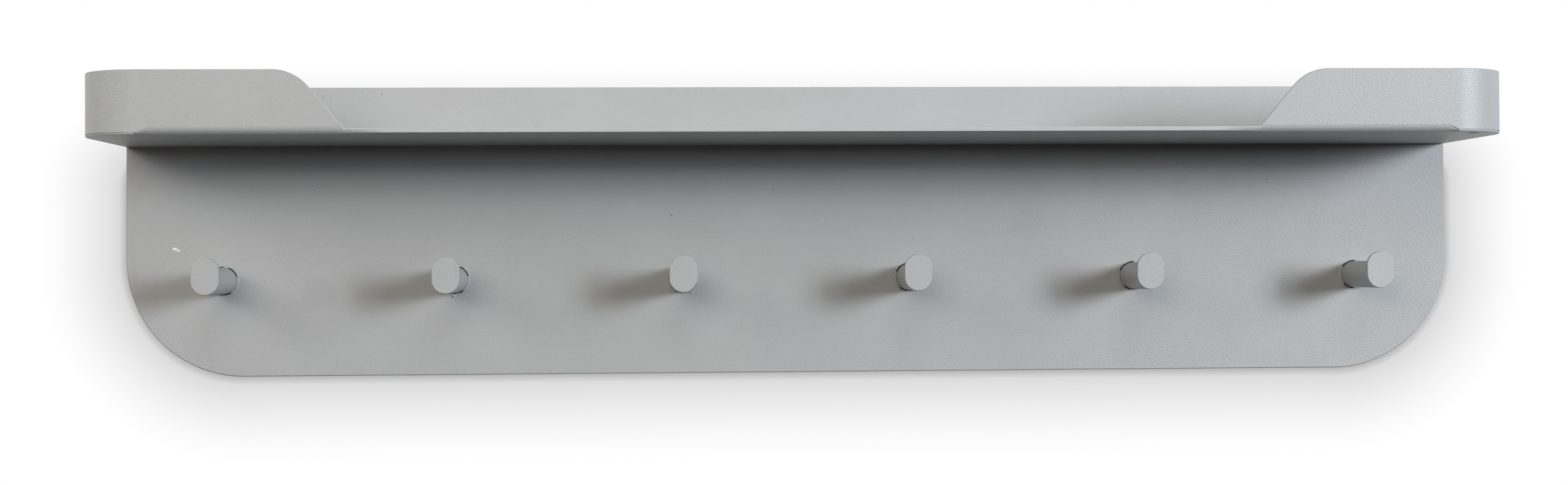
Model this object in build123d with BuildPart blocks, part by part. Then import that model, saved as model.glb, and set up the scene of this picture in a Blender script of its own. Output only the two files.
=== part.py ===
"""Wall rack in coated sheet steel: a shallow shelf tray welded to a back plate that carries
a row of capped pegs.

Frame, in millimetres: X runs along the rack, -Y comes out of the wall and +Z is up. The
origin lies on the wall face of the back plate, midway between the two wall screw holes.
"""
import os
from math import radians, tan

from build123d import *

# Sheet and overall sizes
rack_width = 700.0  # back plate and tray, end to end
sheet = 2.0  # thickness of the back plate and of the tray
plate_drop = 120.0  # underside of the tray down to the lower edge of the back plate
plate_corner_radius = 61.0  # lower corners of the back plate
plate_edge_round = 0.7  # softened front edge of the back plate

# Tray, one bent blank: its floor and two front returns whose ends wrap around the corners
tray_depth = 100.0  # front face of the back plate to the front face of the rim
rim_height = 31.0  # underside of the tray to the top of the rim
rim_corner_radius = 30.0  # outside, in plan
rim_edge_round = 0.5  # softened top edges of the rim
bend_inner_radius = 0.6  # front fold of the sheet
rim_return = 128.5  # end of the rack to the foot of the cut-out, along the front
cutout_slope = 50.0  # degrees, ends of the cut-out from the horizontal
cutout_shoulder_radius = 22.0  # where each end of the cut-out rolls into the top of the rim
cutout_foot_radius = 1.5
cutout_lip = 0.2  # straight stretch left above the fold in the cut-out
seam_height = 0.9  # floor edge that shows below the wrapped ends
seam_gap = 0.3  # open joint between the floor edge and the wrapped ends
seam_depth = 0.5
floor_edge_round = 0.7
hang_hole_diameter = 5.6  # the hole that the tray hangs by when it is coated
hang_hole_end_inset = 18.0
hang_hole_front_inset = 12.7

# Pegs: a round shaft in a clearance hole, with a thin oval cap on its nose
peg_count = 6
peg_end_inset = 50.0  # end of the rack to the axis of the first peg
peg_rise = 50.0  # lower edge of the back plate to the peg axes
peg_diameter = 14.0
peg_reach = 43.0  # front face of the back plate to the face of the cap
peg_hole_gap = 1.0  # all round, between the shaft and its hole
cap_height = 18.8
cap_thickness = 2.0
cap_face_chamfer = 0.35
cap_back_chamfer = 0.2

# Wall fixing
wall_hole_diameter = 5.5  # clears a 5 mm screw
wall_hole_end_inset = 50.0
wall_hole_height = 20.0  # above the underside of the tray

# Welds
peg_weld_depth = 0.6  # closes the back of each peg hole, flush with the wall face
bead_leg = 2.5  # fillet beads inside the tray
bead_swell = 0.3  # how far a bead's face stands past the straight line between its toes
floor_stitch_count = 7
floor_stitch_length = 25.0
floor_stitch_end_inset = 40.0
corner_bead_arc = 70.0  # degrees of each rounded corner that the bead follows
side_stitch_length = 18.0
end_bead_length = 14.0

# Places worked out from the sizes
floor_z = -wall_hole_height  # underside of the tray
floor_top_z = floor_z + sheet
rim_top_z = floor_z + rim_height
plate_foot_z = floor_z - plate_drop
plate_height = rim_top_z - plate_foot_z
plate_front_y = -sheet
tray_front_y = plate_front_y - tray_depth
end_x = rack_width / 2
bend_outer_radius = bend_inner_radius + sheet
straight_half = end_x - rim_corner_radius  # half of the straight front stretch
corner_centre_y = tray_front_y + rim_corner_radius
corner_inner_radius = rim_corner_radius - sheet
cutout_foot_x = end_x - rim_return
cutout_foot_z = floor_z + bend_outer_radius + cutout_lip
peg_axis_z = plate_foot_z + peg_rise
peg_pitch = (rack_width - 2 * peg_end_inset) / (peg_count - 1)
peg_hole_radius = peg_diameter / 2 + peg_hole_gap
cap_back_y = plate_front_y - peg_reach + cap_thickness
cap_centre_z = peg_axis_z - peg_diameter / 2 + cap_height / 2
wall_hole_spacing = rack_width - 2 * wall_hole_end_inset
floor_stitch_pitch = (rack_width - 2 * floor_stitch_end_inset) / (floor_stitch_count - 1)

tray_mid_y = (plate_front_y + tray_front_y) / 2
tray_base = Plane.XY.offset(floor_z)
front_face = Plane.XZ.offset(-tray_front_y)  # looks out of the wall, along -Y


def peg_plane(x, y):
    """Plane across one peg at a distance from the wall, looking out of the wall."""
    return Plane(origin=(x, y, peg_axis_z), x_dir=(1, 0, 0), z_dir=(0, -1, 0))


def tray_outline(inset=0.0):
    """The tray's plan outline, its front and ends drawn in by inset."""
    with BuildSketch(mode=Mode.PRIVATE) as outline:
        with Locations((0, tray_mid_y + inset / 2)):
            Rectangle(rack_width - 2 * inset, tray_depth - inset)
        fillet(outline.vertices().group_by(Axis.Y)[0], radius=rim_corner_radius - inset)
    return outline.sketch


def bead_section():
    """A fillet bead's section, its root at the origin and its toes along +X and +Y."""
    swell = bead_leg / 2 + bead_swell
    with BuildSketch(mode=Mode.PRIVATE) as section:
        with BuildLine():
            ThreePointArc((bead_leg, 0), (swell, swell), (0, bead_leg))
            Polyline((0, bead_leg), (0, 0), (bead_leg, 0))
        make_face()
    return section.sketch


def keep(name, builder):
    """Labels a finished piece and writes its file."""
    builder.part.label = name
    export_step(builder.part, f"parts/{name}.step")


os.makedirs("parts", exist_ok=True)

# Back plate: one flat sheet from the lower edge up to the top of the rim
with BuildPart() as back_plate:
    with BuildSketch(Plane.XZ) as plate_outline:
        with Locations((0, (rim_top_z + plate_foot_z) / 2)):
            Rectangle(rack_width, plate_height)
        fillet(plate_outline.vertices().group_by(Axis.Y)[0], radius=plate_corner_radius)
    extrude(amount=sheet)
    fillet(back_plate.faces().sort_by(Axis.Y)[0].edges(), radius=plate_edge_round)
    with Locations(peg_plane(0, plate_front_y)):
        with GridLocations(peg_pitch, 0, peg_count, 1):
            Hole(peg_hole_radius, depth=sheet)
    with Locations(Plane.XZ.offset(sheet)):
        with GridLocations(wall_hole_spacing, 0, 2, 1):
            Hole(wall_hole_diameter / 2, depth=sheet)
keep("back_plate", back_plate)

# Shelf tray
with BuildPart() as shelf_tray:
    # Floor and wrapped walls of the two rounded ends, butted along an open seam
    with BuildSketch(tray_base):
        add(tray_outline())
        with Locations((0, tray_mid_y)):
            Rectangle(2 * straight_half, tray_depth, mode=Mode.SUBTRACT)
    extrude(amount=sheet)
    fillet(
        shelf_tray.edges().group_by(Axis.Z)[0].filter_by(
            lambda edge: abs((edge @ 0.5).X) > straight_half + sheet and (edge @ 0.5).Y < plate_front_y - sheet
        ),
        radius=floor_edge_round,
    )
    with BuildSketch(tray_base.offset(seam_height)):
        add(tray_outline())
        add(tray_outline(inset=sheet), mode=Mode.SUBTRACT)
        with Locations((0, tray_mid_y)):
            Rectangle(2 * straight_half, tray_depth, mode=Mode.SUBTRACT)
    extrude(amount=rim_height - seam_height)
    with BuildSketch(tray_base.offset(seam_height)):
        add(tray_outline())
        add(tray_outline(inset=seam_depth), mode=Mode.SUBTRACT)
        with Locations((0, tray_mid_y)):
            Rectangle(2 * straight_half, tray_depth, mode=Mode.SUBTRACT)
    extrude(amount=seam_gap, mode=Mode.SUBTRACT)
    # Straight front stretch: floor, fold and front wall as one bent profile
    with BuildSketch(Plane.YZ):
        with BuildLine():
            outer_line = FilletPolyline(
                (plate_front_y, floor_z), (tray_front_y, floor_z), (tray_front_y, rim_top_z),
                radius=bend_outer_radius,
            )
            inner_line = FilletPolyline(
                (plate_front_y, floor_top_z), (tray_front_y + sheet, floor_top_z),
                (tray_front_y + sheet, rim_top_z),
                radius=bend_inner_radius,
            )
            Line(outer_line @ 0, inner_line @ 0)
            Line(outer_line @ 1, inner_line @ 1)
        make_face()
    extrude(amount=straight_half, both=True)
    # Softened top edge, before the cut-out divides the rim
    fillet(shelf_tray.faces().sort_by(Axis.Z)[-1].edges().filter_by(
        lambda edge: (edge @ 0.5).Y < plate_front_y - rim_edge_round), radius=rim_edge_round)
    # Cut-out between the two returns
    cutout_top_x = cutout_foot_x + (rim_top_z - cutout_foot_z) / tan(radians(cutout_slope))
    shoulder_run = cutout_shoulder_radius * tan(radians(cutout_slope / 2))
    clear_x = cutout_top_x + shoulder_run + sheet
    clear_z = rim_top_z + rim_height
    with BuildSketch(front_face):
        with BuildLine():
            cut_line = FilletPolyline(
                (-clear_x, rim_top_z), (-cutout_top_x, rim_top_z), (-cutout_foot_x, cutout_foot_z),
                (cutout_foot_x, cutout_foot_z), (cutout_top_x, rim_top_z), (clear_x, rim_top_z),
                radius=[cutout_shoulder_radius, cutout_foot_radius, cutout_foot_radius, cutout_shoulder_radius],
            )
            Polyline(cut_line @ 1, (clear_x, clear_z), (-clear_x, clear_z), cut_line @ 0)
        make_face()
    extrude(amount=-(sheet + bend_inner_radius), mode=Mode.SUBTRACT)
    with Locations(Plane.XY.offset(floor_top_z)):
        with Locations((end_x - hang_hole_end_inset, tray_front_y + hang_hole_front_inset)):
            Hole(hang_hole_diameter / 2, depth=sheet)
keep("shelf_tray", shelf_tray)

# Pegs
for index in range(peg_count):
    number = index + 1
    peg_x = -end_x + peg_end_inset + index * peg_pitch

    with BuildPart() as peg_shaft:
        with BuildSketch(peg_plane(peg_x, 0)):
            Circle(peg_diameter / 2)
        extrude(amount=-cap_back_y)
    keep(f"peg_shaft_{number}", peg_shaft)

    with BuildPart() as peg_cap:
        with BuildSketch(peg_plane(peg_x, cap_back_y)):
            with Locations((0, cap_centre_z - peg_axis_z)):
                SlotOverall(cap_height, peg_diameter, rotation=90)
        extrude(amount=cap_thickness)
        chamfer(peg_cap.faces().sort_by(Axis.Y)[0].edges(), length=cap_face_chamfer)
        chamfer(peg_cap.faces().sort_by(Axis.Y)[-1].edges(), length=cap_back_chamfer)
    keep(f"peg_cap_{number}", peg_cap)

# Ring welds that close the peg holes at the wall face
with BuildPart() as peg_welds:
    with BuildSketch(peg_plane(0, 0)):
        with GridLocations(peg_pitch, 0, peg_count, 1):
            Circle(peg_hole_radius)
            Circle(peg_diameter / 2, mode=Mode.SUBTRACT)
    extrude(amount=peg_weld_depth)
keep("peg_welds", peg_welds)

# Stitched fillet beads between the tray floor and the back plate, inside the tray
with BuildPart() as floor_seam_welds:
    for index in range(floor_stitch_count):
        stitch_x = -end_x + floor_stitch_end_inset + index * floor_stitch_pitch
        with BuildSketch(Plane(origin=(stitch_x, plate_front_y, floor_top_z), x_dir=(0, -1, 0), z_dir=(-1, 0, 0))):
            add(bead_section())
        extrude(amount=floor_stitch_length / 2, both=True)
keep("floor_seam_welds", floor_seam_welds)

# Beads inside each end of the tray: around the corner, along the side and up the back joint
for side, side_name in ((-1, "left"), (1, "right")):
    corner_x = side * straight_half
    inner_end_x = side * (end_x - sheet)
    side_stitch_y = (corner_centre_y + plate_front_y) / 2
    start_angle = radians((90 - corner_bead_arc) / 2)

    with BuildPart() as corner_seam_weld:
        outward = Vector(side, 0, 0).rotate(Axis.Z, -side * (90 - corner_bead_arc) / 2)
        root = Vector(corner_x, corner_centre_y, floor_top_z) + outward * corner_inner_radius
        with BuildSketch(Plane(origin=root, x_dir=-outward, z_dir=(-outward).cross(Vector(0, 0, 1)))):
            add(bead_section())
        revolve(
            axis=Axis((corner_x, corner_centre_y, floor_top_z), (0, 0, -side)),
            revolution_arc=corner_bead_arc,
        )
        with BuildSketch(Plane(origin=(inner_end_x, side_stitch_y, floor_top_z), x_dir=(-side, 0, 0), z_dir=(0, side, 0))):
            add(bead_section())
        extrude(amount=side_stitch_length / 2, both=True)
    keep(f"corner_seam_weld_{side_name}", corner_seam_weld)

    with BuildPart() as end_joint_weld:
        mid_z = (floor_top_z + rim_top_z) / 2
        with BuildSketch(Plane(origin=(inner_end_x, plate_front_y, mid_z), x_dir=(-side, 0, 0), z_dir=(0, 0, side))):
            add(bead_section())
        extrude(amount=end_bead_length / 2, both=True)
    keep(f"end_joint_weld_{side_name}", end_joint_weld)
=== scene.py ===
"""Dresses the coated steel wall rack: its sheet metal, pegs, welds and paint, in a plain studio.

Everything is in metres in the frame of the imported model: X runs along the rack, -Y comes out of
the wall and +Z is up.
"""

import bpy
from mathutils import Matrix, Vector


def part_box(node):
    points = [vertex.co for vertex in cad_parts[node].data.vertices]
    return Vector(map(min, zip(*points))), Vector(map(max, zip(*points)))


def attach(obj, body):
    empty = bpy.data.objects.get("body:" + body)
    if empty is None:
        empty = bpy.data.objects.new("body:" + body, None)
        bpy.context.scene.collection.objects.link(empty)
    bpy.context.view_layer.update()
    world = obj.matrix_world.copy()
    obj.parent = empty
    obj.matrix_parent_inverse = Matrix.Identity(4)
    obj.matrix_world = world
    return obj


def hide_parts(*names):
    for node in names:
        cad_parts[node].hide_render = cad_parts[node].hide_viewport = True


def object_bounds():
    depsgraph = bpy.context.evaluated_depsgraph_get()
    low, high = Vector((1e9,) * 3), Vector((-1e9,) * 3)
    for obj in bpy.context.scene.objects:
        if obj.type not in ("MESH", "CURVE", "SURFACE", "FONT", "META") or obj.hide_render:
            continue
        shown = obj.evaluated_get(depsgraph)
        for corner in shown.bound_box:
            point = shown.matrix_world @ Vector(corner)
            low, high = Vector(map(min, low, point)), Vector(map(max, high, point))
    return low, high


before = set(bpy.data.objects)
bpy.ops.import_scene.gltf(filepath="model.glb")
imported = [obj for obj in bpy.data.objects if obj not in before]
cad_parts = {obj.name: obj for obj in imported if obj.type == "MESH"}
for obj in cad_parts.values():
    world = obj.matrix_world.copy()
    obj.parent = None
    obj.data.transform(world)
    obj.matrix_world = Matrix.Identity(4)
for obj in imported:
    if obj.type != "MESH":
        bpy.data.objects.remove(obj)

import copy
import functools
import logging
import math
from collections.abc import Callable
from dataclasses import dataclass, field
from enum import Enum

import bmesh
import bpy
from mathutils import Matrix, Vector

MM = 0.001
BODY = "root"
CAD_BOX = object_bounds()
PEG_NUMBERS = range(1, 7)
COAT_SLOT = "powder_coat"
WELD_SLOT = "weld_metal"
CUT_FOOT = 221.5 * MM  # from the middle of the rack to each foot of the cut in the rim
CUT_HEIGHT = 2.8 * MM  # of the cut's edge above the floor's underside
CUT_SLOPE = math.radians(50.0)
MARGIN = 0.01 * MM  # by which a pick or a tool reaches past a face
HOLE_STEPS = 64
SHARP = 40.0  # the least angle of a sharp edge between its two faces, in degrees
LUMPY_CREASE = 80.0  # the same on ripples and lumps, which are shaded smooth

Span = tuple[float, float]
Triple = tuple[float, float, float]
Colour = tuple[float, float, float, float]
Where = Callable[[Vector], bool]
Material = bpy.types.Material
Socket = bpy.types.NodeSocket

WHITE = (1.0, 1.0, 1.0, 1.0)
BLACK = (0.0, 0.0, 0.0, 1.0)
FACING_FRONT = (math.pi / 2, 0.0, 0.0)  # turns a lying square or cylinder
FACING_SIDE = (0.0, math.pi / 2, 0.0)

log = logging.getLogger("rack")


@functools.cache
def peg_axis(number: int) -> Vector:
    """The place of a peg's axis on the wall face."""
    low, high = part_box(f"peg_shaft_{number}")
    return Vector(((low.x + high.x) / 2, high.y, (low.z + high.z) / 2)).freeze()


# ---------------------------------------------------------------- colours and shader arithmetic


def linear(level: float) -> float:
    """One display level from 0 to 255 as linear light."""
    share = level / 255
    return share / 12.92 if share <= 0.04045 else ((share + 0.055) / 1.055) ** 2.4


def paint(red: float, green: float, blue: float) -> Colour:
    """A display colour, 0 to 255, as the linear colour that a shader takes."""
    return linear(red), linear(green), linear(blue), 1.0


def operator(operation: str) -> tuple[Callable[["Value", "Value | float"], "Value"], ...]:
    """A Python operator and its reflected form, each of which adds that Math node.

    Args:
        operation: the Math node's operation.

    Returns:
        Both, the straight one first.
    """

    def straight(first: "Value", second: "Value | float") -> "Value":
        """The operation on the two in their order."""
        return first.math_node(operation, first, second)

    def reflected(second: "Value", first: "Value | float") -> "Value":
        """The operation on the two the other way round."""
        return second.math_node(operation, first, second)

    return straight, reflected


class Value:
    """A shader socket that takes part in Python arithmetic and adds its Math nodes as it does."""

    def __init__(self, graph: "Graph", socket: Socket) -> None:
        """Wraps a socket of a graph."""
        self.graph = graph
        self.socket = socket

    def math_node(self, operation: str, *terms: "Value | float") -> "Value":
        """The result of one Math node on these terms."""
        made = self.graph.node("ShaderNodeMath", {"operation": operation}, dict(enumerate(terms)))
        return Value(self.graph, made.outputs[0])

    __add__, __radd__ = operator("ADD")
    __sub__, __rsub__ = operator("SUBTRACT")
    __mul__, __rmul__ = operator("MULTIPLY")
    __truediv__, __rtruediv__ = operator("DIVIDE")
    __pow__, __rpow__ = operator("POWER")

    def above(self, least: float) -> "Value":
        """The larger of self and a number."""
        return self.math_node("MAXIMUM", self, least)

    def below(self, most: float) -> "Value":
        """The smaller of self and a number."""
        return self.math_node("MINIMUM", self, most)

    def folded(self, length: float) -> "Value":
        """Runs up to that length and back down again, over and over."""
        return self.math_node("PINGPONG", self, length)

    def across(self, other: "Value") -> "Value":
        """The length of the diagonal of self and other."""
        return (self * self + other * other) ** 0.5

    def between(self, low: float, high: float) -> "Value":
        """Rises smoothly from 0 at low to 1 at high; low may be the larger.

        Args:
            low: where it is 0.
            high: where it is 1.

        Returns:
            The share, from 0 to 1.
        """
        settings = {"interpolation_type": "SMOOTHSTEP"}
        made = self.graph.node("ShaderNodeMapRange", settings, {"Value": self, "From Min": low, "From Max": high})
        return Value(self.graph, made.outputs["Result"])


class Graph:
    """The node tree of one material."""

    def __init__(self, name: str) -> None:
        """Makes an empty material of that name.

        Args:
            name: the material's name.
        """
        self.material = bpy.data.materials.new(name)
        self.material.use_nodes = True
        self.tree = self.material.node_tree
        self.tree.nodes.clear()

    def node(
        self, kind: str, settings: dict[str, object] | None = None, inputs: dict[str | int, object] | None = None
    ) -> bpy.types.Node:
        """Adds one node.

        Args:
            kind: the node's type name.
            settings: its properties, set first.
            inputs: values, links or Values for its sockets, by name or number.

        Returns:
            The node.
        """
        made = self.tree.nodes.new(kind)
        for name, setting in (settings or {}).items():
            setattr(made, name, setting)
        for key, source in (inputs or {}).items():
            if isinstance(source, Value):
                source = source.socket
            if isinstance(source, Socket):
                self.tree.links.new(source, made.inputs[key])
            else:
                made.inputs[key].default_value = source
        return made

    def place(self) -> Socket:
        """The point on the piece, in metres in the frame."""
        return self.node("ShaderNodeTexCoord").outputs["Object"]

    def axis(self, letter: str) -> Value:
        """One coordinate of the point on the piece."""
        split = self.node("ShaderNodeSeparateXYZ", inputs={0: self.place()})
        return Value(self, split.outputs[letter])

    def noise(
        self, grain: float, detail: float = 2.0, roughness: float = 0.5, place: Socket | None = None
    ) -> Value:
        """A cloudy pattern from about 0 to 1.

        Args:
            grain: the size of its grains, in metres.
            detail: how many finer layers it has.
            roughness: how strong the finer layers are.
            place: where it is read, if not at the point on the piece.

        Returns:
            Its value there.
        """
        sockets = {"Vector": place or self.place(), "Scale": 1 / grain, "Detail": detail, "Roughness": roughness}
        return Value(self, self.node("ShaderNodeTexNoise", inputs=sockets).outputs["Fac"])

    def away_from(self, spot: Triple, span: Triple = (1.0, 1.0, 1.0)) -> Value:
        """The distance from a spot, counted in the spans along the three axes.

        Args:
            spot: the spot in the frame.
            span: what counts as 1 along each axis.

        Returns:
            The distance.
        """
        offset = self.node("ShaderNodeVectorMath", {"operation": "SUBTRACT"}, {0: self.place(), 1: spot})
        scaled = self.node("ShaderNodeVectorMath", {"operation": "DIVIDE"}, {0: offset.outputs[0], 1: span})
        made = self.node("ShaderNodeVectorMath", {"operation": "LENGTH"}, {0: scaled.outputs[0]})
        return Value(self, made.outputs["Value"])

    def away_from_peg(self) -> Value:
        """The distance from the axis of the nearest peg.

        Returns:
            The distance in metres.
        """
        first, second = peg_axis(1), peg_axis(2)
        beside = (self.axis("X") - first.x).folded((second.x - first.x) / 2)
        return beside.across(self.axis("Z") - first.z)

    def blend(self, share: "Value | float", first: object, second: object) -> Socket:
        """A colour that goes from the first to the second as the share goes from 0 to 1."""
        made = self.node("ShaderNodeMix", {"data_type": "RGBA"}, {0: share, 6: first, 7: second})
        return made.outputs[2]

    def bump(self, height: Value, relief: float) -> Socket:
        """Normals for a height from 0 to 1 that stands for that relief in metres."""
        made = self.node("ShaderNodeBump", inputs={"Strength": 1.0, "Distance": relief, "Height": height})
        return made.outputs["Normal"]

    def surface(self, inputs: dict[str | int, object]) -> Material:
        """Ends the tree in one Principled shader.

        Args:
            inputs: values and links for the shader's sockets.

        Returns:
            The material.
        """
        shader = self.node("ShaderNodeBsdfPrincipled", inputs=inputs)
        self.node("ShaderNodeOutputMaterial", inputs={"Surface": shader.outputs[0]})
        return self.material


# ---------------------------------------------------------------- finishes


@dataclass(frozen=True)
class Blemish:
    """A small mark in the coat."""

    place: Triple
    span: Triple  # half its size along each axis
    colour: Colour
    strength: float = 1.0
    softness: float = 0.2  # share of its size over which it fades
    raggedness: float = 0.5


CHIP = paint(240, 240, 240)
SMUDGE = paint(120, 121, 121)
DUST = paint(90, 90, 88)
PALE = paint(205, 206, 205)


def mark(
    x: float, z: float, width: float, height: float, colour: Colour,
    strength: float = 1.0, softness: float = 0.2, raggedness: float = 0.5,
) -> Blemish:
    """A blemish on the plate's front, its place and half its size in mm."""
    place, span = (x * MM, -2 * MM, z * MM), (width * MM, 1.2 * MM, height * MM)
    return Blemish(place, span, colour, strength, softness, raggedness)


PLATE_BLEMISHES = (
    mark(-324.9, -73.1, 1.3, 0.7, CHIP),
    mark(-323.2, -74.1, 0.9, 0.5, CHIP),
    mark(-250.9, -97.2, 8.5, 8.0, SMUDGE, 0.13, 0.35),
    mark(124.0, -63.0, 9.0, 9.0, SMUDGE, 0.07, 0.6),
    mark(-262.0, -29.0, 0.25, 6.5, PALE, 0.35, 0.5, 0.0),
    mark(-66.0, -56.7, 0.5, 0.5, DUST, 0.7),
    mark(-12.0, -43.3, 0.4, 0.4, DUST, 0.6),
    mark(-252.7, -42.7, 0.4, 0.4, DUST, 0.6),
    mark(253.0, -38.8, 0.4, 0.4, DUST, 0.6),
    mark(-248.4, 5.9, 0.3, 0.25, DUST, 0.6),
    mark(-243.9, 4.4, 0.25, 0.3, DUST, 0.4),
    mark(-227.5, 9.3, 0.35, 0.25, DUST, 0.5),
    mark(-222.3, 6.1, 0.25, 0.25, DUST, 0.3),
    mark(-217.5, 7.6, 0.35, 0.45, DUST, 0.6),
)
TRAY_BLEMISHES = (
    Blemish((-255.7 * MM, -101.0 * MM, -20.0 * MM), (1.4 * MM, 2.5 * MM, 1.0 * MM), PALE, 0.6, 0.4),
    Blemish((-244.0 * MM, -99.0 * MM, -20.0 * MM), (0.8 * MM, 1.5 * MM, 1.0 * MM), PALE, 0.5, 0.4),
    Blemish((-305.0 * MM, -96.0 * MM, -20.0 * MM), (0.7 * MM, 1.2 * MM, 1.0 * MM), PALE, 0.5, 0.4),
    Blemish((210.0 * MM, -60.0 * MM, -18.0 * MM), (7.0 * MM, 7.0 * MM, 2.0 * MM), SMUDGE, 0.08, 0.5),
)


@dataclass(frozen=True)
class PowderCoat:
    """Satin light grey powder coat with an orange peel that coarsens towards the lower right."""

    colour: Colour = paint(178, 179, 178)
    speck_colour: Colour = paint(170, 171, 170)
    cloud_colour: Colour = paint(181, 182, 181)
    # near black: bare steel with the gap's painted shade
    bare_and_shade_colour: Colour = paint(30, 28, 26)
    # painted shade colour for the corner below the shelf
    corner_shade_colour: Colour = paint(150, 151, 150)
    # painted highlight colour for the edges of the cut in the rim
    cut_highlight_colour: Colour = paint(198, 199, 198)
    peel_grain: float = 1.2 * MM
    fine_grain: float = 0.5 * MM
    fine_share: float = 0.75  # of the relief; the peel has the rest
    speck_range: Span = (0.4, 0.7)  # of the fine grain, from no speck to a full one
    cloud_range: Span = (0.35, 0.75)
    cloud_strength: float = 0.5
    rag_grain: float = 0.9 * MM  # of the outlines of blemishes
    cloud_grain: float = 45.0 * MM
    patch_grain: float = 12.0 * MM
    relief: float = 0.19 * MM
    calm: float = 0.92  # share of the relief at the left
    wild: float = 0.4  # what the lower right adds to it
    wild_across: Span = (-100.0 * MM, 340.0 * MM)  # where that starts and where it is full
    wild_down: Span = (0.0, -130.0 * MM)
    wild_patches: Span = (0.4, 0.65)
    bare_away: Span = (8.25 * MM, 8.05 * MM)  # from a peg's axis
    bare_front: Span = (-2.1 * MM, -1.7 * MM)
    bare_back: Span = (-0.15 * MM, -0.5 * MM)
    corner_shade_across: Span = (340.0 * MM, 270.0 * MM)  # from the middle of the rack
    corner_shade_deep: Span = (-95.0 * MM, -14.0 * MM)
    corner_shade_up: Span = (-36.0 * MM, -29.0 * MM)
    corner_shade_floor: Span = (1.1 * MM, 0.9 * MM)  # above the tray's underside
    corner_shade_plate_top: Span = (0.2 * MM, -0.2 * MM)
    corner_shade_plate_front: Span = (-1.6 * MM, -1.9 * MM)
    corner_shade_on_plate: float = 0.65
    edge_front: Span = (-99.0 * MM, -101.0 * MM)
    slope_line: Span = (-0.5 * MM, -0.3 * MM)  # behind the edge of the slope
    slope_in: Span = (2.5 * MM, 0.5 * MM)  # from its foot towards the middle of the rack
    slope_foot: Span = (-0.6 * MM, -0.2 * MM)  # above the foot of the cut
    slope_up: Span = (14.0 * MM, -16.0 * MM)
    slope_strength: float = 0.6
    lip_fade: float = 1.0 * MM  # past the feet of the cut
    lip_top: Span = (0.3 * MM, 0.1 * MM)  # above the foot of the cut
    lip_bottom: Span = (-19.5 * MM, -19.2 * MM)
    lip_strength: float = 0.4
    grinding_across: Span = (17.0 * MM, 11.0 * MM)  # from a peg's axis
    grinding_deep: Span = (-0.3 * MM, -0.05 * MM)
    grinding_stretch: float = 0.06  # how little a scratch changes along its circle
    roughness: float = 0.43
    roughness_swing: float = 0.08
    scratch_grain: float = 0.35 * MM

    def coarseness(self, graph: Graph) -> Value:
        """The relief's share of its full height: calm at the left, wild at the lower right.

        Args:
            graph: the material's tree.

        Returns:
            The share.
        """
        rightwards = graph.axis("X").between(*self.wild_across)
        downwards = graph.axis("Z").between(*self.wild_down)
        patches = graph.noise(self.patch_grain, detail=1.0).between(*self.wild_patches)
        return self.calm + self.wild * rightwards * downwards * patches

    def bare_and_gap_shade(self, graph: Graph) -> Value:
        """The depth of the gaps around the pegs, where no coat arrives: bare steel, painted near black as the
        shade in the gap.

        Args:
            graph: the material's tree.

        Returns:
            1 where the sheet is bare and shaded, else 0.
        """
        depth = graph.axis("Y")
        inside = graph.away_from_peg().between(*self.bare_away)
        return inside * depth.between(*self.bare_front) * depth.between(*self.bare_back)

    def painted_corner_shade(self, graph: Graph, tray: bool) -> Value:
        """Painted shade in the corner below the shelf: darkens the tray's underside near the plate and the plate
        just below the tray.

        Args:
            graph: the material's tree.
            tray: whether the piece is the tray and not the plate.

        Returns:
            1 where the painted shade is darkest, else 0.
        """
        x, y, z = (graph.axis(letter) for letter in "XYZ")
        start, full = self.corner_shade_across
        middle = x.between(-start, -full) * x.between(start, full)
        over_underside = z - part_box("shelf_tray")[0].z
        if tray:
            return middle * y.between(*self.corner_shade_deep) * over_underside.between(*self.corner_shade_floor)
        below = over_underside.between(*self.corner_shade_plate_top) * z.between(*self.corner_shade_up)
        return middle * y.between(*self.corner_shade_plate_front) * below * self.corner_shade_on_plate

    def painted_cut_highlight(self, graph: Graph) -> Value:
        """Painted highlight along the lip and the left slope of the cut in the rim, standing in for light caught
        by their edges.

        Args:
            graph: the material's tree.

        Returns:
            1 where the painted highlight is full, else 0.
        """
        x, z = graph.axis("X"), graph.axis("Z")
        past_foot, over_foot = x + CUT_FOOT, z - (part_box("shelf_tray")[0].z + CUT_HEIGHT)
        over_slope = past_foot * math.sin(CUT_SLOPE) + over_foot * math.cos(CUT_SLOPE)
        left = past_foot.between(*self.slope_in) * over_foot.between(*self.slope_foot) * z.between(*self.slope_up)
        line = over_slope.between(*self.slope_line) * left * self.slope_strength
        start = CUT_FOOT + self.lip_fade
        between_feet = x.between(-start, -CUT_FOOT) * x.between(start, CUT_FOOT)
        below_edge = over_foot.between(*self.lip_top) * z.between(*self.lip_bottom)
        lip = between_feet * below_edge * self.lip_strength
        return graph.axis("Y").between(*self.edge_front) * (line + lip).below(1.0)

    def grinding(self, graph: Graph) -> Value:
        """Circular scratches under the coat on the wall face, around the ground rings.

        Args:
            graph: the material's tree.

        Returns:
            Their height, from 0 to 1.
        """
        away = graph.away_from_peg()
        first = peg_axis(1)
        ring = graph.node("ShaderNodeCombineXYZ", inputs={
            "X": away,
            "Y": graph.axis("X") * self.grinding_stretch,
            "Z": (graph.axis("Z") - first.z) * self.grinding_stretch,
        })
        scratches = graph.noise(self.scratch_grain, detail=3.0, roughness=0.7, place=ring.outputs[0])
        return scratches * away.between(*self.grinding_across) * graph.axis("Y").between(*self.grinding_deep)

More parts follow.
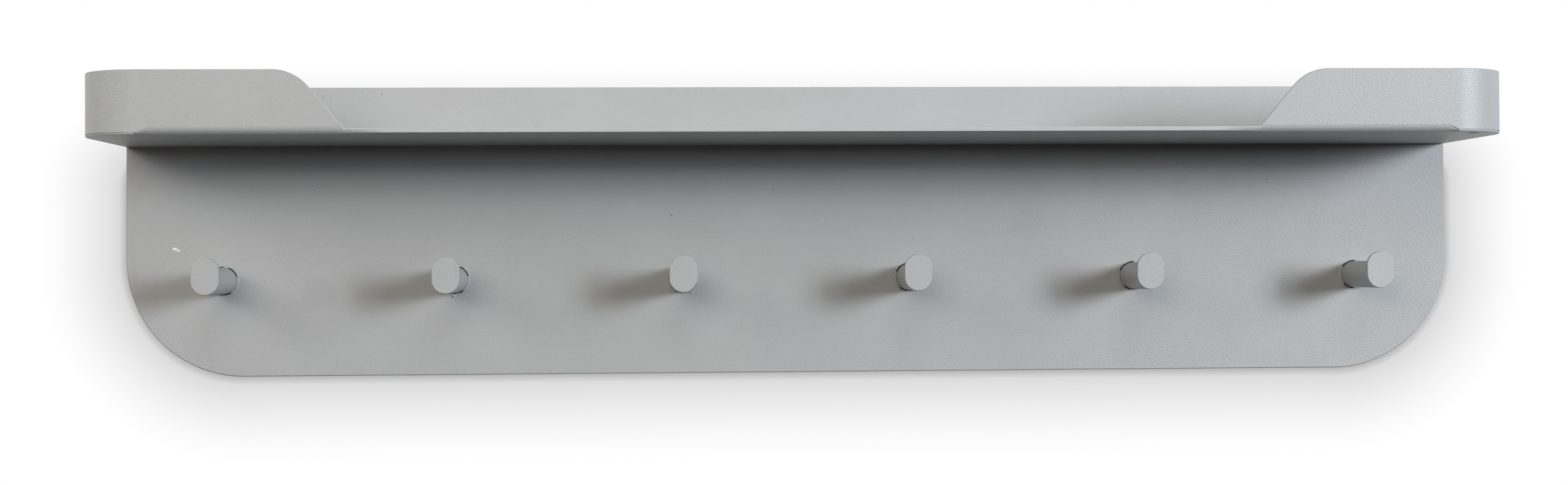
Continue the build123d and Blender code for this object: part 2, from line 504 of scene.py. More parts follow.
    def material(
        self, name: str, blemishes: tuple[Blemish, ...] = (), ground: bool = False, cut: bool = False
    ) -> Material:
        """The coat as a material.

        Args:
            name: the material's name.
            blemishes: the marks in it.
            ground: whether the wall face shows the grinding around the pegs.
            cut: whether the piece is the tray with the cut in its rim.

        Returns:
            The material.
        """
        graph = Graph(name)
        peel = graph.noise(self.peel_grain, detail=1.5)
        fine = graph.noise(self.fine_grain, detail=0.5)
        cloud = graph.noise(self.cloud_grain, detail=3.0)
        colour = graph.blend(fine.between(*self.speck_range), self.colour, self.speck_colour)
        colour = graph.blend(cloud.between(*self.cloud_range) * self.cloud_strength, colour, self.cloud_colour)
        ragged = graph.noise(self.rag_grain, detail=2.0) - 0.5
        for blemish in blemishes:
            away = graph.away_from(blemish.place, blemish.span) + ragged * blemish.raggedness
            share = away.between(1 + blemish.softness, 1 - blemish.softness) * blemish.strength
            colour = graph.blend(share, colour, blemish.colour)
        if blemishes:
            # painted shade darkening the inner corner below the shelf
            colour = graph.blend(self.painted_corner_shade(graph, tray=cut), colour, self.corner_shade_colour)
        if cut:
            # painted highlight along the lip and the left slope of the cut
            colour = graph.blend(self.painted_cut_highlight(graph), colour, self.cut_highlight_colour)
        # bare steel and painted shade in the gaps around the pegs
        colour = graph.blend(self.bare_and_gap_shade(graph), colour, self.bare_and_shade_colour)
        height = ((1 - self.fine_share) * peel + self.fine_share * fine) * self.coarseness(graph)
        if ground:
            height = height + self.grinding(graph)
        return graph.surface({
            "Base Color": colour,
            "Roughness": self.roughness + (cloud - 0.5) * self.roughness_swing,
            "Normal": graph.bump(height, self.relief),
        })


@dataclass(frozen=True)
class BareWeld:
    """Dark weld metal that the coat didn't reach, with straw and blue heat tints."""

    steel: Colour = paint(92, 88, 84)
    straw: Colour = paint(112, 92, 66)
    blue: Colour = paint(70, 76, 88)
    scale_colour: Colour = paint(52, 48, 45)
    straw_away: Span = (7.9 * MM, 7.3 * MM)  # from a peg's axis, from blue to straw
    tint_grain: float = 2.5 * MM
    tint_range: Span = (0.35, 0.6)
    grit_grain: float = 0.35 * MM
    grit_range: Span = (0.55, 0.7)
    grit_strength: float = 0.7
    relief: float = 0.03 * MM
    metallic: float = 0.8
    roughness: float = 0.5
    roughness_swing: float = 0.3

    def material(self, name: str) -> Material:
        """The weld as a material of that name.

        Args:
            name: the material's name.

        Returns:
            The material.
        """
        graph = Graph(name)
        away = graph.away_from_peg()
        tint = graph.noise(self.tint_grain, detail=3.0)
        grit = graph.noise(self.grit_grain, detail=2.0)
        colour = graph.blend(away.between(*self.straw_away), self.blue, self.straw)
        colour = graph.blend(tint.between(*self.tint_range), colour, self.steel)
        colour = graph.blend(grit.between(*self.grit_range) * self.grit_strength, colour, self.scale_colour)
        return graph.surface({
            "Base Color": colour,
            "Metallic": self.metallic,
            "Roughness": self.roughness + (tint - 0.5) * self.roughness_swing,
            "Normal": graph.bump(grit, self.relief),
        })


# ---------------------------------------------------------------- bench work


class Pick(Enum):
    """What is picked on a workpiece."""

    CORNERS = "VERT"
    EDGES = "EDGE"
    FACES = "FACE"


def near(first: float, second: float, slack: float = 0.001 * MM) -> bool:
    """Whether two places are the same but for a hair."""
    return abs(first - second) < slack


class Workpiece:
    """One mesh on the bench, open in edit mode while it is shaped."""

    def __init__(self, name: str, add: Callable[..., set[str]], **size: object) -> None:
        """Adds a primitive and opens it, with nothing else selected.

        Args:
            name: the piece's name.
            add: the operator that adds the primitive.
            size: that operator's own settings.
        """
        if bpy.context.mode != "OBJECT":
            bpy.ops.object.mode_set(mode="OBJECT")
        bpy.ops.object.select_all(action="DESELECT")
        add(**size)
        self.obj = bpy.context.object
        self.obj.name = self.obj.data.name = name
        bpy.ops.object.transform_apply(location=True, rotation=True, scale=True)
        bpy.ops.object.mode_set(mode="EDIT")

    def pick(
        self,
        kind: Pick,
        holds: Where,
        reaches: Where = lambda place: True,
        crease: float = 0.0,
    ) -> None:
        """Picks elements by the places of their corners.

        Args:
            kind: corners, edges or faces.
            holds: what the place of every corner fulfils.
            reaches: what the place of at least one corner fulfils.
            crease: for edges, the least angle between their two faces, in degrees.
        """
        bpy.ops.mesh.select_mode(type=kind.value)
        bpy.ops.mesh.select_all(action="DESELECT")
        mesh = bmesh.from_edit_mesh(self.obj.data)
        items = {Pick.CORNERS: mesh.verts, Pick.EDGES: mesh.edges, Pick.FACES: mesh.faces}[kind]
        for item in items:
            corners = [item] if kind is Pick.CORNERS else item.verts
            sharp = crease == 0 or math.degrees(item.calc_face_angle(0)) > crease
            places = [corner.co for corner in corners]
            item.select_set(sharp and all(map(holds, places)) and any(map(reaches, places)))
        mesh.select_flush_mode()
        bmesh.update_edit_mesh(self.obj.data)

    def pick_all(self) -> None:
        """Picks everything."""
        bpy.ops.mesh.select_mode(type="VERT")
        bpy.ops.mesh.select_all(action="SELECT")

    def pull(self, x: float = 0.0, y: float = 0.0, z: float = 0.0) -> None:
        """Extrudes what is picked by that much."""
        bpy.ops.mesh.extrude_region_move(TRANSFORM_OT_translate={"value": (x, y, z)})

    def soften(self, width: float, segments: int = 4) -> None:
        """Rounds the picked edges off."""
        bpy.ops.mesh.bevel(offset=width, segments=segments, affect="EDGES")

    def ease(self, width: float, holds: Where, segments: int = 4, reaches: Where = lambda place: True) -> None:
        """Rounds the sharp edges off that lie where holds and reaches say."""
        self.pick(Pick.EDGES, holds, reaches, SHARP)
        self.soften(width, segments)

    def open_up(self, holds: Where) -> None:
        """Takes those faces out and leaves their edges."""
        self.pick(Pick.FACES, holds)
        bpy.ops.mesh.delete(type="ONLY_FACE")

    def fill(self, holds: Where) -> None:
        """Closes those edges with one face."""
        self.pick(Pick.EDGES, holds)
        bpy.ops.mesh.edge_face_add()

    def round_off(self, reach: float, segments: int) -> None:
        """Rounds the picked corners of a flat outline off, starting that far from each."""
        bpy.ops.mesh.bevel(offset=reach, segments=segments, affect="VERTICES")

    def flatten_out(self) -> None:
        """Joins coplanar faces and drops corners on straight edges."""
        self.pick_all()
        bpy.ops.mesh.dissolve_limited(angle_limit=math.radians(0.5))

    def mend(self) -> None:
        """Merges doubled corners and turns every face outwards."""
        self.pick_all()
        bpy.ops.mesh.remove_doubles(threshold=0.001 * MM)
        bpy.ops.mesh.normals_make_consistent(inside=False)

    def close(self) -> None:
        """Leaves edit mode, with this piece alone selected."""
        if bpy.context.mode != "OBJECT":
            bpy.ops.object.mode_set(mode="OBJECT")
        bpy.ops.object.select_all(action="DESELECT")
        self.obj.select_set(True)
        bpy.context.view_layer.objects.active = self.obj

    def reopen(self) -> None:
        """Opens the piece again after others were worked on."""
        self.close()
        bpy.ops.object.mode_set(mode="EDIT")

    def modify(self, kind: str, **settings: object) -> None:
        """Adds a modifier with these settings and applies it.

        Args:
            kind: the modifier's type name.
            settings: its properties.
        """
        self.close()
        modifier = self.obj.modifiers.new(kind, kind)
        for name, setting in settings.items():
            setattr(modifier, name, setting)
        bpy.ops.object.modifier_apply(modifier=modifier.name)

    def cut(self, *tools: "Workpiece") -> None:
        """Cuts closed tools out of the piece and throws them away.

        Args:
            tools: the tools, closed all round.
        """
        for tool in tools:
            tool.close()
            self.modify("BOOLEAN", operation="DIFFERENCE", solver="EXACT", object=tool.obj)
            bpy.data.objects.remove(tool.obj)
        self.reopen()

    def join(self, *others: "Workpiece") -> None:
        """Makes the others part of this mesh and opens it.

        Args:
            others: the pieces that end up in this one.
        """
        self.close()
        for other in others:
            other.obj.select_set(True)
        bpy.ops.object.join()
        self.reopen()

    def copied(self, name: str, offset: Vector) -> "Workpiece":
        """A copy of the piece with its own mesh, moved by the offset.

        Args:
            name: the copy's name.
            offset: how far it is moved.

        Returns:
            The copy, open.
        """
        self.close()
        bpy.ops.object.duplicate(linked=False)
        twin = copy.copy(self)
        twin.obj = bpy.context.object
        twin.obj.name = twin.obj.data.name = name
        twin.reopen()
        twin.pick_all()
        bpy.ops.transform.translate(value=offset)
        return twin

    def slide(self, offset: Vector, reach: float) -> None:
        """Moves what is picked, and what lies within reach of it a little less and less.

        Args:
            offset: how far what is picked moves.
            reach: how far from it the last corner still moves.
        """
        bpy.ops.transform.translate(
            value=offset, use_proportional_edit=True, proportional_edit_falloff="SMOOTH",
            proportional_size=reach, use_proportional_connected=True,
        )

    def slice_off(self, place: Vector, outwards: Vector) -> None:
        """Cuts the piece at a plane, drops what lies outwards of it and closes the cut."""
        self.pick_all()
        bpy.ops.mesh.bisect(plane_co=place, plane_no=outwards, use_fill=True, clear_outer=True)

    def roughen(self, grain: float, depth: float) -> None:
        """Pushes the skin in and out by up to half the depth, in lumps of about that grain.

        Args:
            grain: the size of a lump.
            depth: from its lowest to its highest place.
        """
        lumps = bpy.data.textures.new(f"{self.obj.name}_lumps", "CLOUDS")
        lumps.noise_scale = grain
        self.modify("DISPLACE", texture=lumps, texture_coords="LOCAL", strength=depth, mid_level=0.5)

    def repeat(self, offset: Vector, count: int) -> None:
        """Repeats the piece in a row, as one mesh.

        Args:
            offset: from one to the next.
            count: how many there are in the row.
        """
        self.modify(
            "ARRAY", count=count, use_relative_offset=False,
            use_constant_offset=True, constant_offset_displace=offset,
        )

    def hand_over(self, finish: Material, slot: str, *nodes: str, crease: float = 30.0) -> None:
        """Ends the piece: shading, finish, body and the nodes that it stands for.

        Args:
            finish: its material.
            slot: not used.
            nodes: the nodes that it replaces.
            crease: the angle in degrees from which its edges stay sharp.
        """
        self.close()
        bpy.ops.object.shade_smooth_by_angle(angle=math.radians(crease))
        self.modify("WEIGHTED_NORMAL", keep_sharp=True)
        self.obj.data.materials.clear()
        self.obj.data.materials.append(finish)
        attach(self.obj, BODY)
        if nodes:
            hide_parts(*nodes)
        log.info("%s: %d faces", self.obj.name, len(self.obj.data.polygons))


def blank(name: str, turn: Triple, size: Triple, middle: Vector) -> Workpiece:
    """A flat upright rectangle, from which an outline is made.

    Args:
        name: the piece's name.
        turn: how the lying square is set upright, in radians.
        size: its size along the three axes, 1 along the one that it doesn't reach along.
        middle: where its middle goes.

    Returns:
        The rectangle, open and picked.
    """
    sheet = Workpiece(name, bpy.ops.mesh.primitive_plane_add, size=1, rotation=turn)
    sheet.pick_all()
    bpy.ops.transform.resize(value=size, center_override=(0, 0, 0))
    bpy.ops.transform.translate(value=middle)
    return sheet


def drill(name: str, radius: float, place: Vector, along: str, depth: float) -> Workpiece:
    """A round tool for a hole.

    Args:
        name: the tool's name.
        radius: the hole's radius.
        place: the middle of the tool.
        along: the axis it is drilled along, Y or Z.
        depth: its length.

    Returns:
        The tool, closed all round.
    """
    turn = FACING_FRONT if along == "Y" else (0.0, 0.0, 0.0)
    add = bpy.ops.mesh.primitive_cylinder_add
    return Workpiece(name, add, vertices=HOLE_STEPS, radius=radius, depth=depth, location=place, rotation=turn)


# ---------------------------------------------------------------- sheet metal


@dataclass
class ShelfTray:
    """The bent tray: floor, fold, wrapped ends and the low cut in its front rim.

    Between the feet of the cut the fold runs out into the plain cut edge of the sheet.
    """

    finish: Material
    gauge: float = 2.0 * MM
    corner: float = 30.0 * MM
    fold: float = 4.0 * MM
    fold_inside: float = 2.0 * MM
    fold_steps: int = 7
    fold_end: float = 226.0 * MM  # from the middle of the rack to where the fold starts to run out
    plain_reach: float = 202.0 * MM  # from the middle of the rack to where the fold has run out
    plain_depth: float = 14.0 * MM  # how far behind the plain edge the floor starts to rise to it
    plain_height: float = 0.6 * MM  # foot of the plain edge above the floor's underside
    plain_round: float = 0.35 * MM
    plain_flat: float = 1.7 * MM  # height of a corner on the flat of the plain edge
    edge_round: float = 0.45 * MM
    floor_round: float = 0.7 * MM
    seam_foot: float = 0.9 * MM
    seam_gap: float = 0.3 * MM
    seam_depth: float = 0.5 * MM
    seam_fade: float = 6.0 * MM  # along the rim, from the open seam to the full fold
    corner_steps: int = 32
    cut_shoulder: float = 22.0 * MM
    cut_foot_round: float = 1.5 * MM
    hole_radius: float = 2.8 * MM
    hole_end: float = 18.0 * MM
    hole_front: float = 12.7 * MM
    hole_round: float = 0.25 * MM
    low: Vector = field(default_factory=lambda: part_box("shelf_tray")[0])
    high: Vector = field(default_factory=lambda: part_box("shelf_tray")[1])

    def __post_init__(self) -> None:
        """Works out the places that several steps use."""
        self.straight = self.high.x - self.corner
        self.centre_y = self.low.y + self.corner
        self.floor_top = self.low.z + self.gauge

    def section(self, name: str, x: float) -> Workpiece:
        """The bent sheet's section across the front, as one flat face at that x.

        Args:
            name: the piece's name.
            x: the station.

        Returns:
            The section, open.
        """
        floor_run = self.corner - self.gauge
        middle = Vector((x, self.centre_y - floor_run / 2, self.low.z + self.gauge / 2))
        sheet = blank(name, FACING_SIDE, (1, floor_run, self.gauge), middle)
        sheet.pick(Pick.EDGES, lambda p: near(p.y, self.low.y + self.gauge))
        sheet.pull(y=-self.gauge)
        sheet.pick(Pick.EDGES, lambda p: near(p.z, self.floor_top) and p.y < self.low.y + 1.01 * self.gauge)
        sheet.pull(z=self.high.z - self.floor_top)
        sheet.flatten_out()
        sheet.pick(Pick.CORNERS, lambda p: near(p.y, self.low.y) and near(p.z, self.low.z))
        sheet.round_off(self.fold, self.fold_steps - 1)
        sheet.pick(Pick.CORNERS, lambda p: near(p.y, self.low.y + self.gauge) and near(p.z, self.floor_top))
        sheet.round_off(self.fold_inside, 3)
        self.refold(sheet, x, self.fold_line())
        return sheet

    @staticmethod
    def quarter(radius: float, steps: int) -> list[Vector]:
        """A rounded corner of that radius, upwards, as depth and height."""
        turns = [math.pi / 2 * step / steps for step in range(steps + 1)]
        return [radius * Vector((1 - math.sin(turn), 1 - math.cos(turn))) for turn in turns]

    def fold_line(self) -> list[Vector]:
        """The fold, upwards, without the corner that would come too close to the edge of the cut."""
        line = self.quarter(self.fold, self.fold_steps)
        return line[:-2] + line[-1:]

    def plain_line(self) -> list[Vector]:
        """Floor and foot of the plain edge, upwards, as depth and height.

        Returns:
            As many corners as the fold has.
        """
        foot = [corner + Vector((0, self.plain_height)) for corner in self.quarter(self.plain_round, 3)]
        edge = [Vector((0, height)) for height in (self.plain_flat, self.fold)]
        return [Vector((self.plain_depth, 0)), *foot, *edge]

    def seam_line(self) -> list[Vector]:
        """Floor edge, open seam and foot of the wrapped wall, upwards, as depth and height.

        Returns:
            As many corners as the fold has.
        """
        edge = self.quarter(self.floor_round, 2)
        roof = self.seam_foot + self.seam_gap
        groove = [(0, self.seam_foot), (self.seam_depth, self.seam_foot), (self.seam_depth, roof), (0, roof)]
        return edge + [Vector(place) for place in groove]

    def refold(self, sheet: Workpiece, x: float, line: list[Vector]) -> None:
        """Moves the corners of the fold at one station onto another line.

        Args:
            sheet: the piece with the fold.
            x: the station.
            line: depth and height of each corner, upwards.
        """
        mesh = bmesh.from_edit_mesh(sheet.obj.data)
        fold = []
        for corner in mesh.verts:
            depth, height = corner.co.y - self.low.y, corner.co.z - self.low.z
            outside = max(depth, height) < 1.01 * self.fold and min(depth, height) < 0.99 * self.gauge
            if near(corner.co.x, x) and outside:
                fold.append(corner)
        fold.sort(key=lambda corner: (corner.co.z, -corner.co.y))
        for corner, (depth, height) in zip(fold, line, strict=True):
            corner.co.y, corner.co.z = self.low.y + depth, self.low.z + height
        bmesh.update_edit_mesh(sheet.obj.data)

    def wrapped_end(self, side: int) -> Workpiece:
        """One rounded end with its side wall, spun from the section.

        Args:
            side: -1 for the left end, 1 for the right.

        Returns:
            The end, open.
        """
        end = self.section(f"tray_end_{side}", side * self.straight)
        self.refold(end, side * self.straight, self.seam_line())
        end.pick_all()
        bpy.ops.mesh.spin(
            steps=self.corner_steps, angle=-side * math.pi / 2,
            center=(side * self.straight, self.centre_y, 0), axis=(0, 0, 1),
        )
        end.pull(y=self.high.y - self.centre_y)
        end.mend()
        return end

    def stretch(self) -> Workpiece:
        """The straight front between the two ends, its fold run out in the middle.

        Returns:
            The front, open.
        """
        run = self.straight - self.seam_fade
        stations = (-run, -self.fold_end, -self.plain_reach)
        stations = stations + tuple(-x for x in reversed(stations))
        front = self.section("shelf_tray_shell", -run)
        front.pick_all()
        for start, end in zip(stations, stations[1:]):
            front.pull(x=end - start)
        for side in (-1, 1):
            self.refold(front, side * self.plain_reach, self.plain_line())
            front.pick(Pick.FACES, lambda p: p.z < self.low.z + 1.01 * self.fold and (
                self.plain_reach - MARGIN < side * p.x < self.fold_end + MARGIN))
            bpy.ops.mesh.quads_convert_to_tris(quad_method="SHORTEST_DIAGONAL")
        return front

    def close_joints(self, tray: Workpiece) -> None:
        """Bridges the fold into the seam at both ends and fills the middle of the floor.

        Args:
            tray: the front and both ends as one mesh.
        """
        run = self.straight - self.seam_fade
        for side in (-1, 1):
            for x in (side * run, side * self.straight):
                tray.open_up(lambda p: near(p.x, x) and p.y < self.centre_y + MARGIN)
            tray.pick(Pick.EDGES, lambda p: p.y < self.centre_y + MARGIN and (
                near(p.x, side * run) or near(p.x, side * self.straight)))
            bpy.ops.mesh.bridge_edge_loops()
        tray.open_up(lambda p: near(p.y, self.centre_y) and abs(p.x) < self.straight + MARGIN)
        for side in (-1, 1):
            tray.open_up(lambda p: near(p.x, side * self.straight) and p.y > self.centre_y - MARGIN)
        for level in (self.low.z, self.floor_top):
            tray.fill(lambda p: near(p.z, level) and p.y > self.centre_y - MARGIN and (
                abs(p.x) < self.straight + MARGIN))
        tray.fill(lambda p: near(p.y, self.high.y) and near(abs(p.x), self.straight))
        tray.mend()

    def true_up(self, tool: Workpiece, centre: Vector) -> None:
        """Moves the corners of one rounded shoulder onto a true circle about that centre.

        Args:
            tool: the tool for the cut.
            centre: the circle's middle.
        """
        mesh = bmesh.from_edit_mesh(tool.obj.data)
        for corner in mesh.verts:
            away = corner.co - centre
            if near(away.length, self.cut_shoulder, 0.04 * self.cut_shoulder) and away.z > 0:
                corner.co = centre + away.normalized() * self.cut_shoulder
        bmesh.update_edit_mesh(tool.obj.data)

    def cut_tool(self) -> Workpiece:
        """The tool for the low cut between the two returns of the rim.

        Returns:
            The tool, closed all round.
        """
        foot_z = self.low.z + CUT_HEIGHT
        crest_z = self.high.z + MARGIN  # just clear of the rim, so that no two faces coincide
        height = crest_z - foot_z
        top_x = CUT_FOOT + height / math.tan(CUT_SLOPE)
        reach = self.cut_shoulder * math.tan(CUT_SLOPE / 2)
        middle = Vector((0, self.low.y - self.gauge, foot_z + height / 2))
        tool = blank("cut_tool", FACING_FRONT, (2 * CUT_FOOT, 1, height), middle)
        tool.pick(Pick.CORNERS, lambda p: near(p.z, crest_z))
        bpy.ops.transform.resize(value=(top_x / CUT_FOOT, 1, 1), center_override=(0, 0, 0))
        tool.pick(Pick.EDGES, lambda p: near(p.z, crest_z))
        tool.pull(z=height)
        for side in (-1, 1):
            tool.pick(Pick.EDGES, lambda p: near(p.x, side * top_x) and p.z > crest_z - MARGIN)
            tool.pull(x=side * reach)
        tool.flatten_out()
        tool.pick(Pick.CORNERS, lambda p: near(abs(p.x), top_x) and near(p.z, crest_z))
        tool.round_off(reach, 16)
        for side in (-1, 1):
            centre = (side * (top_x + reach), middle.y, crest_z - self.cut_shoulder)
            self.true_up(tool, Vector(centre))
        tool.pick(Pick.CORNERS, lambda p: near(p.z, foot_z))
        tool.round_off(self.cut_foot_round * math.tan(CUT_SLOPE / 2), 4)
        tool.pick_all()
        tool.pull(y=2 * self.gauge + self.fold_inside)
        tool.mend()
        return tool

    def build(self) -> None:
        """Makes the tray and puts it in the node's place."""
        tray = self.stretch()
        tray.join(self.wrapped_end(-1), self.wrapped_end(1))
        self.close_joints(tray)
        hole = Vector((self.high.x - self.hole_end, self.low.y + self.hole_front, self.low.z))
        tray.cut(self.cut_tool(), drill("hang_hole_tool", self.hole_radius, hole, "Z", 4 * self.gauge))
        tray.ease(
            self.edge_round,
            holds=lambda p: p.z > self.low.z + CUT_HEIGHT - MARGIN,
            reaches=lambda p: p.y < self.high.y - MARGIN,
        )
        tray.ease(self.hole_round, lambda p: (p.xy - hole.xy).length < 1.01 * self.hole_radius, 3)
        tray.mend()
        tray.hand_over(self.finish, COAT_SLOT, "shelf_tray")


@dataclass
class BackPlate:
    """The flat plate with its round lower corners, peg holes and wall holes."""

    finish: Material
    corner: float = 61.0 * MM
    edge_round: float = 0.7 * MM
    back_round: float = 0.2 * MM
    hole_round: float = 0.25 * MM
    corner_steps: int = 48
    peg_hole_radius: float = 8.0 * MM
    wall_hole_radius: float = 2.75 * MM
    low: Vector = field(default_factory=lambda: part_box("back_plate")[0])
    high: Vector = field(default_factory=lambda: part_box("back_plate")[1])

    def holes(self) -> list[tuple[float, Vector]]:
        """Radius and middle of each hole.

        Returns:
            A pair for each hole.
        """
        pegs = [(self.peg_hole_radius, peg_axis(number)) for number in PEG_NUMBERS]
        ends = (peg_axis(PEG_NUMBERS[0]).x, peg_axis(PEG_NUMBERS[-1]).x)
        return pegs + [(self.wall_hole_radius, Vector((x, 0.0, 0.0))) for x in ends]

    def build(self) -> None:
        """Makes the plate and puts it in the node's place."""
        size = self.high - self.low
        cube = bpy.ops.mesh.primitive_cube_add
        plate = Workpiece("back_plate_sheet", cube, size=1, location=(self.low + self.high) / 2, scale=size)
        for end_x in (self.low.x, self.high.x):
            plate.pick(Pick.EDGES, lambda p: near(p.z, self.low.z) and near(p.x, end_x))
            plate.soften(self.corner, self.corner_steps)
        holes = self.holes()
        depth = 4 * size.y
        plate.cut(*(drill(f"hole_tool_{index}", radius, Vector((at.x, -size.y / 2, at.z)), "Y", depth)
                    for index, (radius, at) in enumerate(holes)))

        def in_hole(p: Vector) -> bool:
            """Whether a place lies in a hole or on its edge."""
            return any(math.hypot(p.x - at.x, p.z - at.z) < 1.01 * radius for radius, at in holes)

        plate.ease(self.edge_round, lambda p: near(p.y, self.low.y) and not in_hole(p))
        plate.ease(self.back_round, lambda p: near(p.y, self.high.y) and not in_hole(p), 2)
        plate.ease(self.hole_round, in_hole, 3)
        plate.mend()
        plate.hand_over(self.finish, COAT_SLOT, "back_plate")


# ---------------------------------------------------------------- pegs


@dataclass
class PegCaps:
    """The oval plates on the noses of the pegs."""

    finish: Material
    corner_steps: int = 24
    corner_share: float = 0.99999  # of half the width, so that two corners don't quite meet
    face_round: float = 0.45 * MM
    back_round: float = 0.2 * MM

    def build(self) -> None:
        """Makes one cap and copies it to the other pegs."""
        low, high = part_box("peg_cap_1")
        width, thickness, height = high - low
        middle = Vector(((low.x + high.x) / 2, high.y, (low.z + high.z) / 2))
        first = blank("peg_cap_plate_1", FACING_FRONT, (width, 1, height), middle)
        first.pick(Pick.CORNERS, lambda p: True)
        first.round_off(width / 2 * self.corner_share, self.corner_steps)
        first.mend()
        first.pick_all()
        first.pull(y=-thickness)
        first.mend()
        first.ease(self.face_round, lambda p: near(p.y, low.y))
        first.ease(self.back_round, lambda p: near(p.y, high.y), 2)
        caps = [first]
        for number in PEG_NUMBERS[1:]:
            caps.append(first.copied(f"peg_cap_plate_{number}", peg_axis(number) - peg_axis(PEG_NUMBERS[0])))
        for number, cap in zip(PEG_NUMBERS, caps):
            cap.hand_over(self.finish, COAT_SLOT, f"peg_cap_{number}")


@dataclass(frozen=True)
class Collar:
    """How the coat closes the gap around one peg; angles in degrees, 0 to the right and 90 upwards."""

    open_arcs: tuple[Triple, ...]  # from, to, and how deep in mm the coat lies there
    crumbs: tuple[Triple, ...]  # angle, distance from the axis and radius, in mm


COLLARS = {
    1: Collar(((20, 66, 1.2), (94, 114, 1.0), (248, 296, 0.9)),
              ((84, 7.9, 0.42), (79, 8.1, 0.3), (348, 8.1, 0.35), (335, 8.3, 0.3), (322, 8.4, 0.26))),
    2: Collar(((34, 62, 0.9), (18, 28, 1.0), (248, 278, 1.0), (285, 303, 0.9)),
              ((268, 8.7, 1.0), (259, 8.3, 0.5), (277, 8.3, 0.5), (40, 7.8, 0.2), (50, 7.7, 0.22))),
    3: Collar(((60, 110, 0.6), (300, 332, 0.9)),
              ((297, 8.5, 0.5), (340, 8.6, 0.45), (352, 8.1, 0.36), (4, 8.0, 0.3))),
    4: Collar(((106, 155, 1.2), (232, 275, 0.9)),
              ((162, 8.2, 0.34), (172, 8.5, 0.3), (183, 8.6, 0.4), (193, 8.4, 0.28), (206, 8.3, 0.34))),
    5: Collar(((92, 156, 1.2), (238, 287, 1.1)),
              ((83, 8.0, 0.42), (162, 8.2, 0.4), (171, 8.5, 0.3), (180, 8.6, 0.45), (191, 8.4, 0.34),
               (203, 8.5, 0.42), (215, 8.3, 0.34))),
    6: Collar(((88, 141, 1.2), (226, 264, 1.0)),
              ((79, 7.9, 0.36), (152, 8.1, 0.34), (166, 8.3, 0.34), (181, 8.4, 0.3), (196, 8.3, 0.34))),
}


@dataclass
class PegCollars:
    """The rings of coat between the shafts and the plate, broken where the coat didn't bridge the gap."""

    finish: Material
    ring_radius: float = 7.4 * MM
    ring_thickness: float = 0.5 * MM
    lip_radius: float = 7.86 * MM  # the thick edge of the coat around the hole
    lip_thickness: float = 0.4 * MM
    ring_steps: int = 180
    section_steps: int = 12
    proud: float = 0.12 * MM  # the ring's middle before the plate's face
    lip_sunk: float = 0.2 * MM  # the lip's middle behind it
    blend: float = 0.9 * MM
    lump_grain: float = 1.4 * MM
    lump_depth: float = 0.35 * MM
    crumb_shape: Triple = (1.2, 0.8, 0.9)
    face_y: float = field(default_factory=lambda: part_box("back_plate")[0].y)

    def ring(self, name: str, radius: float, thickness: float, proud: float) -> Workpiece:
        """An unbroken ring of coat around the first peg.

        Args:
            name: its name.
            radius: from the peg's axis to the middle of the ring's section.
            thickness: the section's radius.
            proud: how far its middle stands before the plate's face.

        Returns:
            The ring.
        """
        axis = peg_axis(PEG_NUMBERS[0])
        torus = bpy.ops.mesh.primitive_torus_add
        return Workpiece(
            name, torus, major_radius=radius, minor_radius=thickness,
            major_segments=self.ring_steps, minor_segments=self.section_steps,
            location=(axis.x, self.face_y - proud, axis.z), rotation=FACING_FRONT,
        )

    def crumb(self, number: int, angle: float, distance: float, radius: float) -> Workpiece:
        """One lump of coat on the plate beside the ring.

        Args:
            number: the peg's number.
            angle: in degrees, as in Collar.
            distance: from the peg's axis, in mm.
            radius: in mm.

        Returns:
            The lump, open.
        """
        turn = math.radians(angle)
        out = distance * MM * Vector((math.cos(turn), 0.0, math.sin(turn)))
        place = peg_axis(number) + out + Vector((0.0, self.face_y, 0.0))
        ball, shape = bpy.ops.mesh.primitive_ico_sphere_add, self.crumb_shape
        return Workpiece("crumb", ball, subdivisions=3, radius=radius * MM, location=place, scale=shape)

    def break_open(self, ring: Workpiece, number: int, arc: Triple) -> None:
        """Sinks one arc of the ring into the hole.

        Args:
            ring: the ring.
            number: its peg's number.
            arc: where and how deep, as in Collar.
        """
        axis = peg_axis(number)

        def in_arc(p: Vector) -> bool:
            """Whether a place lies in the arc."""
            angle = math.degrees(math.atan2(p.z - axis.z, p.x - axis.x)) % 360
            return arc[0] < angle < arc[1]

        ring.pick(Pick.CORNERS, in_arc)
        ring.slide(Vector((0.0, arc[2] * MM, 0.0)), self.blend)

    def build(self) -> None:
        """Makes the six rings."""
        first = self.ring("peg_collar_1", self.ring_radius, self.ring_thickness, self.proud)
        first_lip = self.ring("lip", self.lip_radius, self.lip_thickness, -self.lip_sunk)
        rings, lips = {PEG_NUMBERS[0]: first}, {PEG_NUMBERS[0]: first_lip}
        for number in PEG_NUMBERS[1:]:
            offset = peg_axis(number) - peg_axis(PEG_NUMBERS[0])
            rings[number] = first.copied(f"peg_collar_{number}", offset)
            lips[number] = first_lip.copied(f"lip_{number}", offset)
        for number, ring in rings.items():
            ring.reopen()
            for arc in COLLARS[number].open_arcs:
                self.break_open(ring, number, arc)
            ring.join(lips[number], *(self.crumb(number, *crumb) for crumb in COLLARS[number].crumbs))
            ring.roughen(self.lump_grain, self.lump_depth)
            ring.hand_over(self.finish, COAT_SLOT, crease=LUMPY_CREASE)


# ---------------------------------------------------------------- welds


